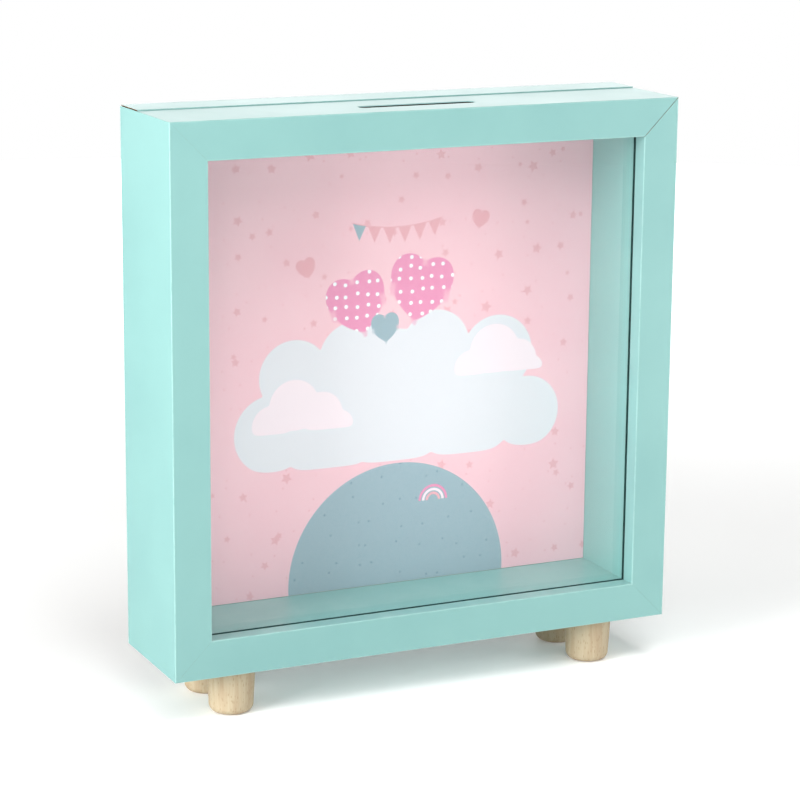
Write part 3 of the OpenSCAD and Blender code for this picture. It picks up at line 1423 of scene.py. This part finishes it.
@dataclass
class BoxFrame:
    """The four painted boards, the coin slot and the pins in the mitres."""

    palette: Palette
    slot_length: float = 46 * MM
    slot_width: float = 5 * MM
    slot_lip: float = 0.3 * MM
    slot_points: int = 64
    slot_lip_steps: int = 5
    slot_over: float = 1 * MM
    glass_slack: float = 0.4 * MM
    glass_play: float = 0.4 * MM
    panel_slack: float = 0.3 * MM
    panel_play: float = 0.5 * MM
    open_mitre: float = 0.11 * MM
    first_seed: int = 3

    def __post_init__(self) -> None:
        """Reads the frame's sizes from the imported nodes."""
        left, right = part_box("left_board"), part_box("right_board")
        bottom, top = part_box("bottom_board"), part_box("top_board")
        self.low, self.high = left[0], right[1]
        self.width = self.high.x - self.low.x
        self.height = self.high.z - self.low.z
        self.depth = self.high.y - self.low.y
        self.thick = bottom[1].z - bottom[0].z
        self.top_depth = top[1].y - top[0].y
        self.middle = Vector(((self.low.x + self.high.x) / 2, 0.0,
                              (self.low.z + self.high.z) / 2))
        self.front = self.low.y

    def glass_groove(self) -> Groove:
        """Gives the groove that holds the pane.

        Returns:
            The groove, a little wider and deeper than the pane.
        """
        low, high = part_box("glass_pane")
        inner = self.width / 2 - self.thick
        # The groove's walls get the dark green lining, which is painted shade round the pane.
        return Groove(low.y - self.front - self.glass_slack / 2,
                      high.y - low.y + self.glass_slack, high.x - inner + self.glass_play,
                      Lining.GROOVE_SHADE)

    def panel_groove(self) -> Groove:
        """Gives the groove that guides the back panel.

        Returns:
            The groove, a little wider and deeper than the panel.
        """
        low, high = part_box("back_panel")
        inner = self.width / 2 - self.thick
        return Groove(low.y - self.front - self.panel_slack,
                      high.y - low.y + 2 * self.panel_slack, high.x - inner + self.panel_play)

    def build(self) -> None:
        """Makes the boards and dresses the pins."""
        both = (self.glass_groove(), self.panel_groove())
        finishes = self.palette.board_finishes()
        open_low, open_high = Joint(low_end=self.open_mitre), Joint(high_end=self.open_mitre)
        plan = (
            (Side.LEFT, self.height, self.width, self.depth, both, Joint()),
            (Side.RIGHT, self.height, self.width, self.depth, both, open_high),
            (Side.BOTTOM, self.width, self.height, self.depth, both, Joint()),
            (Side.TOP, self.width, self.height, self.top_depth, both[:1], open_low),
        )
        for side, length, across, depth, grooves, joint in plan:
            node = f"{side.name.lower()}_board"
            timber = Timber(length, depth, self.thick, grooves, joint,
                            seed=side.value + self.first_seed)
            piece = timber.build(f"painted_{node}", side, self.middle, self.front,
                                 across / 2, finishes)
            if side is Side.TOP:
                self.cut_slot(piece)
            settle(piece, "box", "mint_paint", node)
        for corner in ("bottom_left", "bottom_right", "top_left", "top_right"):
            dress(f"pins_{corner}", self.palette.steel)

    def slot_cutter(self) -> tuple[np.ndarray, list[list[int]]]:
        """Works out the space that the coin slot takes out of the top board.

        Formula: a straight slot with half-circle ends, carried up through the board. Near
        each face its half width grows by the lip radius times (1 - sin a), while its
        height runs out by the lip radius times (1 - cos a), for a over a quarter turn.

        Returns:
            Points and faces.
        """
        mouth = Vector(next(m for m in frame["record"]["mounts"]
                            if m["name"] == "coin_slot")["pos_m"])
        top, bottom = self.high.z, self.high.z - self.thick
        turn = np.linspace(0, math.pi / 2, self.slot_lip_steps + 1)
        grow = self.slot_lip * (1 - np.sin(turn))
        fall = self.slot_lip * (1 - np.cos(turn))
        heights = np.concatenate([[top + self.slot_over], top - fall, (bottom + fall)[::-1],
                                  [bottom - self.slot_over]])
        grown = np.concatenate([[grow[0]], grow, grow[::-1], [grow[0]]])
        count = self.slot_points
        angle = np.linspace(0, 2 * math.pi, count, endpoint=False) + math.pi / count
        reach = (self.slot_length - self.slot_width) / 2
        radius = self.slot_width / 2 + grown[:, None]
        points = np.stack([
            mouth.x + np.sign(np.cos(angle))[None] * reach + radius * np.cos(angle),
            mouth.y + radius * np.sin(angle),
            np.broadcast_to(heights[:, None], (len(heights), len(angle))),
        ], -1)
        return points.reshape(-1, 3), tube_faces(len(heights), len(angle))

    def cut_slot(self, board: bpy.types.Object) -> None:
        """Cuts the coin slot, its lips painted and its walls near-black as painted shade.

        Args:
            board: The top board.
        """
        points, faces = self.slot_cutter()
        rings = len(points) // self.slot_points
        around = np.repeat(np.arange(rings - 1), self.slot_points)
        wall = around == (rings - 2) // 2
        # The slot's walls take the near-black finish, which is painted shade.
        which = np.where(np.concatenate([wall, [False, False]]), 1, 0)
        cutter = make_solid("slot_cutter", points, faces,
                            [self.palette.paint, self.palette.slot_shade], which)
        cut = board.modifiers.new("slot", "BOOLEAN")
        cut.operation, cut.solver, cut.object = "DIFFERENCE", "EXACT", cutter
        cut.material_mode = "TRANSFER"
        board.modifiers.move(len(board.modifiers) - 1, 0)
        even = board.modifiers["even_shading"]
        even.show_viewport = False
        graph = bpy.context.evaluated_depsgraph_get()
        mesh = bpy.data.meshes.new_from_object(board.evaluated_get(graph))
        board.modifiers.remove(cut)
        even.show_viewport = True
        old, board.data = board.data, mesh
        bpy.data.meshes.remove(old)
        bpy.data.objects.remove(cutter)


def dress(node: str, finish: bpy.types.Material) -> None:
    """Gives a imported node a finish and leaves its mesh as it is.

    Args:
        node: Name of the node.
        finish: Material that it gets.
    """
    shape = frame["nodes"][node]
    if not shape.material_slots:
        shape.data.materials.append(None)
    for slot in shape.material_slots:
        slot.material = finish
    LOG.info("%s: kept, with %s", node, finish.name)


# ---------------------------------------------------------------- glass, feet, back


def make_sheet(name: str, node: str, arris: float, finishes: list[bpy.types.Material],
               slots: tuple[int, int, int],
               grown: tuple[tuple[float, float, float], ...] = ((0, 0, 0), (0, 0, 0)),
               ) -> bpy.types.Object:
    """Makes an upright sheet that fills a node's box.

    Args:
        name: Name of the piece.
        node: The node.
        arris: Radius of its softened edges.
        finishes: Its materials.
        slots: Number of the material on its front, its rim and its back.
        grown: What is added to the box's lowest and highest corners.

    Returns:
        The piece.
    """
    low, high = (np.array(corner) + more for corner, more in zip(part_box(node), grown))
    points, faces, parts = slab(low, high, arris)
    return make_solid(name, points, faces, finishes, np.array(slots)[parts], FLAT_FACED)


@dataclass
class GlassFront:
    """The clear pane with its ground rim."""

    palette: Palette
    arris: float = 0.25 * MM

    def build(self) -> None:
        """Makes the pane."""
        finishes = [self.palette.glass, self.palette.rim]
        piece = make_sheet("clear_pane", "glass_pane", self.arris, finishes, (0, 1, 0))
        settle(piece, "box", "front_glass", "glass_pane")


@dataclass
class TurnedFeet:
    """Four turned feet and the dowels that hold them."""

    palette: Palette
    base_width: float = 16.4 * MM
    edge_radius: float = 3.0 * MM
    rim: float = 0.3 * MM
    tool_mark: float = 0.015 * MM
    marks: int = 13
    corner_steps: int = 12
    side_steps: int = 41

    def profile(self, top: float, height: float) -> np.ndarray:
        """Works out a foot's outline from its underside to its top.

        Formula: flat, then a quarter round, then a straight taper with shallow tool marks,
        which are a sine wave along the height.

        Args:
            top: Radius at the top.
            height: Height of the foot.

        Returns:
            Radius and height of each point.
        """
        base, edge = self.base_width / 2, self.edge_radius
        turn = np.linspace(-math.pi / 2, 0, self.corner_steps + 1)
        corner = np.stack([base - edge + edge * np.cos(turn), edge + edge * np.sin(turn)], -1)
        rise = np.linspace(0, 1, self.side_steps + 1)[1:-1]
        marks = self.tool_mark * (np.sin(rise * 2 * math.pi * self.marks) - 1)
        side = np.stack([base + (top - base) * rise + marks, edge + (height - edge) * rise], -1)
        ends = np.array([[top - self.tool_mark, height - self.rim],
                         [top - self.rim, height], [0.0, height]])
        return np.concatenate([[[0.0, 0.0]], corner, side, ends])

    def build(self) -> None:
        """Makes the feet and dresses the dowels."""
        for corner in ("front_left", "front_right", "back_left", "back_right"):
            low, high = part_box(f"foot_{corner}")
            middle = (low + high) / 2
            points, faces = revolve(self.profile((high.x - low.x) / 2, high.z - low.z),
                                    (middle.x, middle.y))
            piece = make_solid(f"turned_foot_{corner}", points, faces, [self.palette.wood])
            settle(piece, "box", "pale_wood", f"foot_{corner}")
            dress(f"dowel_{corner}", self.palette.wood)


@dataclass
class LiftOutBack:
    """The back that lifts out: panel, printed card, mitred strip and its pins."""

    palette: Palette
    box: BoxFrame
    strip_end_cut: float = 0.2 * MM
    strip_seed: int = 11
    card_margin: float = 0.3 * MM
    card_arris: float = 0.08 * MM
    panel_arris: float = 0.3 * MM

    def build(self) -> None:
        """Makes the pieces."""
        self.build_panel()
        self.build_card()
        self.build_strip()
        dress("strip_pins", self.palette.steel)

    def build_panel(self) -> None:
        """Makes the hardboard panel."""
        piece = make_sheet("hardboard_back", "back_panel", self.panel_arris,
                           [self.palette.hardboard], (0, 0, 0))
        settle(piece, "slide_back", "hardboard", "back_panel")

    def build_card(self) -> None:
        """Makes the card, printed on its front only."""
        margin = self.card_margin
        piece = make_sheet("printed_picture_card", "picture_card", self.card_arris,
                           [self.palette.card, self.palette.core], (0, 1, 1),
                           ((-margin, 0, -margin), (margin, 0, 0)))
        settle(piece, "slide_back", "printed_card", "picture_card")

    def build_strip(self) -> None:
        """Makes the strip, a short piece of the same timber as the frame."""
        low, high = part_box("top_strip")
        panel_low, panel_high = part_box("back_panel")
        groove = Groove(panel_low.y - low.y, panel_high.y - panel_low.y,
                        panel_high.z - low.z)
        timber = Timber(self.box.width, high.y - low.y, high.z - low.z, (groove,),
                        end_cut=self.strip_end_cut, seed=self.strip_seed)
        reach = high.z - self.box.middle.z
        piece = timber.build("painted_top_strip", Side.TOP, self.box.middle, low.y, reach,
                             self.box.palette.board_finishes())
        settle(piece, "slide_back", "mint_paint", "top_strip")


# ---------------------------------------------------------------- studio


@dataclass(frozen=True)
class Lamp:
    """A soft white rectangular lamp: place, what it points at, size and power in watts."""

    name: str
    place: tuple[float, float, float]
    aim: tuple[float, float, float]
    size: tuple[float, float]
    power: float


@dataclass
class Studio:
    """Camera, soft lamps, pale surroundings and floor."""

    eye: tuple[float, float, float] = (-0.4123, -0.8709, 0.3326)
    yaw: float = 25.28
    pitch: float = 13.21
    roll: float = 0.48
    lens: float = 119.9
    sensor: float = 36.0
    floor_radius: float = 1.4
    floor_ring: float = 0.6
    floor_thick: float = 0.01
    floor_segments: int = 96
    floor_pale: Colour = tint(244, 244, 243)
    floor_light: Colour = tint(247, 247, 246)
    floor_mirrored: Colour = tint(170, 170, 170)
    glow_from: float = 0.22
    glow_to: float = 1.0
    glow_low: float = 0.12
    surround: float = 0.1
    mirrored: float = 0.75
    lamps: tuple[Lamp, ...] = (
        Lamp("side", (-0.88, -0.25, 0.32), (0.0, 0.0, 0.12), (0.5, 0.5), 11.4),
        Lamp("overhead", (0.1, -0.6, 1.3), (0.0, 0.0, 0.12), (0.6, 0.6), 8.6),
        Lamp("upper_left", (-0.6, -0.7, 1.2), (0.0, 0.0, 0.12), (0.5, 0.5), 1.2),
        Lamp("front", (-0.6, -1.9, 1.5), (0.0, 0.0, 0.12), (1.2, 0.9), 12.0),
        Lamp("behind", (0.5, 1.3, 0.45), (0.0, 0.0, 0.15), (1.4, 0.7), 6.0),
        Lamp("low_fill", (0.5, -0.32, 0.14), (0.02, -0.025, 0.09), (0.3, 0.26), 0.9),
        Lamp("corner", (0.3, -0.2, 0.05), (0.0, -0.025, 0.08), (0.12, 0.1), 0.1),
    )

    def build(self) -> None:
        """Sets up everything that isn't part of the object."""
        self.build_camera()
        for lamp in self.lamps:
            self.build_lamp(lamp)
        self.build_world()
        self.build_floor()
        bpy.context.scene.view_settings.view_transform = "Standard"

    def build_camera(self) -> None:
        """Makes the camera, turned by yaw, pitch and roll from a level look along +Y."""
        data = bpy.data.cameras.new("camera")
        data.lens, data.sensor_width = self.lens, self.sensor
        data.clip_start, data.clip_end = 0.01, 100.0
        camera = bpy.data.objects.new("camera", data)
        bpy.context.scene.collection.objects.link(camera)
        yaw, pitch, roll = (math.radians(a) for a in (self.yaw, self.pitch, self.roll))
        ahead = Vector((math.sin(yaw) * math.cos(pitch), math.cos(yaw) * math.cos(pitch),
                        -math.sin(pitch)))
        level = Vector((math.cos(yaw), -math.sin(yaw), 0.0))
        rise = level.cross(ahead)
        right = level * math.cos(roll) + rise * math.sin(roll)
        up = right.cross(ahead)
        turn = Matrix((right, up, -ahead)).transposed().to_4x4()
        camera.matrix_world = Matrix.Translation(self.eye) @ turn
        bpy.context.scene.camera = camera

    def build_lamp(self, lamp: Lamp) -> None:
        """Makes one soft lamp.

        Args:
            lamp: The lamp.
        """
        data = bpy.data.lights.new(lamp.name, "AREA")
        data.shape, data.size, data.size_y = "RECTANGLE", *lamp.size
        data.energy = lamp.power
        light = bpy.data.objects.new(lamp.name, data)
        light.location = lamp.place
        aim = Vector(lamp.aim) - Vector(lamp.place)
        light.rotation_mode = "QUATERNION"
        light.rotation_quaternion = aim.to_track_quat("-Z", "Y")
        bpy.context.scene.collection.objects.link(light)

    def build_world(self) -> None:
        """Makes the surroundings: white to look at, softer in gloss, faint as a light."""
        world = bpy.data.worlds.new("surroundings")
        bpy.context.scene.world = world
        world.use_nodes = True
        g = Graph(world.node_tree)
        background = world.node_tree.nodes["Background"]
        path = g.node("ShaderNodeLightPath").outputs
        seen = g.math("MAXIMUM", path["Is Camera Ray"], path["Is Transmission Ray"])
        bright = g.math("MAXIMUM", seen, g.math("MULTIPLY", path["Is Glossy Ray"],
                                                self.mirrored))
        g.feed(background.inputs["Strength"], g.math("MAXIMUM", bright, self.surround))
        background.inputs["Color"].default_value = (1.0, 1.0, 1.0, 1.0)

    def build_floor(self) -> None:
        """Makes the floor, a wide thin disc that glows towards its rim, like a light table.

        Its mirror image is duller than the floor itself, so that the pane stays clear.
        """
        rim, thick = self.floor_radius, self.floor_thick
        profile = np.array([[0, -thick], [rim, -thick], [rim, 0], [self.floor_ring, 0], [0, 0]],
                           float)
        f = Finish("pale_floor", IOR=1.4)
        g = f.graph
        path = g.node("ShaderNodeLightPath").outputs
        mirrored = g.math("GREATER_THAN", path["Is Glossy Ray"], path["Is Transmission Ray"])
        pale = g.blend(g.step(g.noise(f.place, 6.0, 3.0), 0.3, 0.7), self.floor_pale,
                       self.floor_light)
        f.colour(g.blend(mirrored, pale, self.floor_mirrored))
        f.roughness(g.step(g.noise(f.place, 300.0, 2.0), 0.3, 0.7, 0.6, 0.7))
        away = g.vector("LENGTH", g.stretch(f.place, (1.0, 1.0, 0.0)))
        glow = g.step(away, self.glow_from, self.glow_to, self.glow_low, 1.0)
        glow = g.math("MULTIPLY", glow, g.math("SUBTRACT", 1.0, mirrored))
        g.feed(f.shader.inputs["Emission Color"], g.blend(glow, (0, 0, 0, 1), (1, 1, 1, 1)))
        f.shader.inputs["Emission Strength"].default_value = 1.0
        floor = make_solid("floor", *revolve(profile, (0.0, 0.0), self.floor_segments),
                           [f.material])


def main() -> None:
    """Builds the box's sub-assemblies and the studio, in order."""
    logging.basicConfig(level=logging.INFO, format="%(name)s: %(message)s")
    Studio().build()
    low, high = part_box("picture_card")
    palette = Palette(((low.x + high.x) / 2, (low.z + high.z) / 2))
    box = BoxFrame(palette)
    box.build()
    GlassFront(palette).build()
    TurnedFeet(palette).build()
    LiftOutBack(palette, box).build()


if __name__ == "__main__":
    main()
